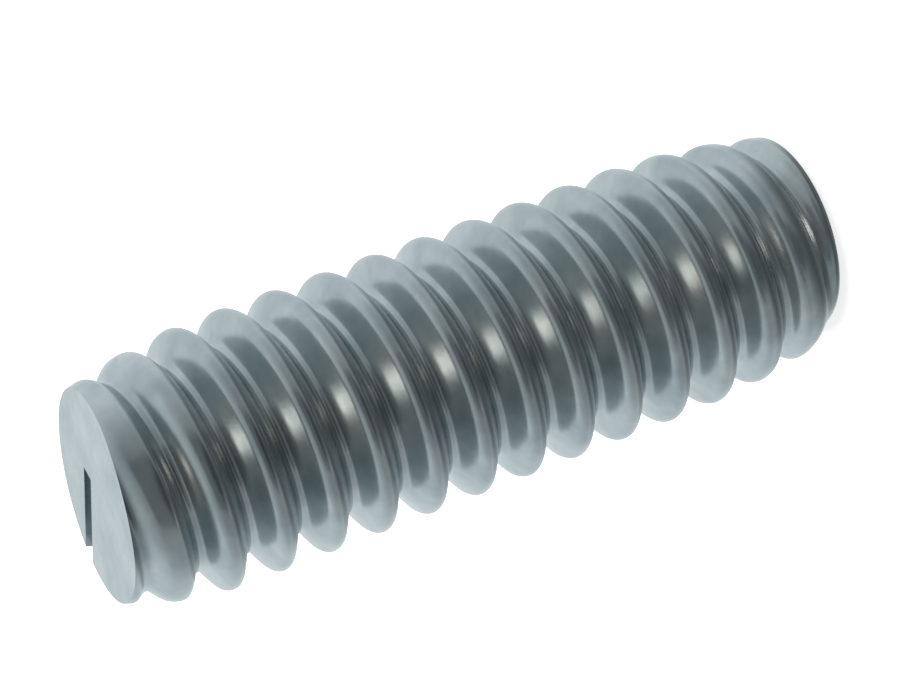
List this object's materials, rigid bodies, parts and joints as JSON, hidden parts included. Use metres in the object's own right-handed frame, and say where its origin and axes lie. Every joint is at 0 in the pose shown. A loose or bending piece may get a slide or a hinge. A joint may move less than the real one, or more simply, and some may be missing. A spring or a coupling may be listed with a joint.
{
  "type": "threaded stud",
  "caption": "Short headless steel stud with a right-hand screw thread over its whole length, used to join two parts that have matching female threads.",
  "frame": {"origin": "centre of the flat square end, on the plane that it stands on", "axes": "+Z along the thread's axis, up towards the skew-cut end; the skew end stands highest towards -X"},
  "size_m": [0.0062, 0.0062, 0.0184],
  "materials": {
    "plated_steel": "satin"
  },
  "bodies": {
    "root": {"stud": "plated_steel"}
  },
  "joints": []
}
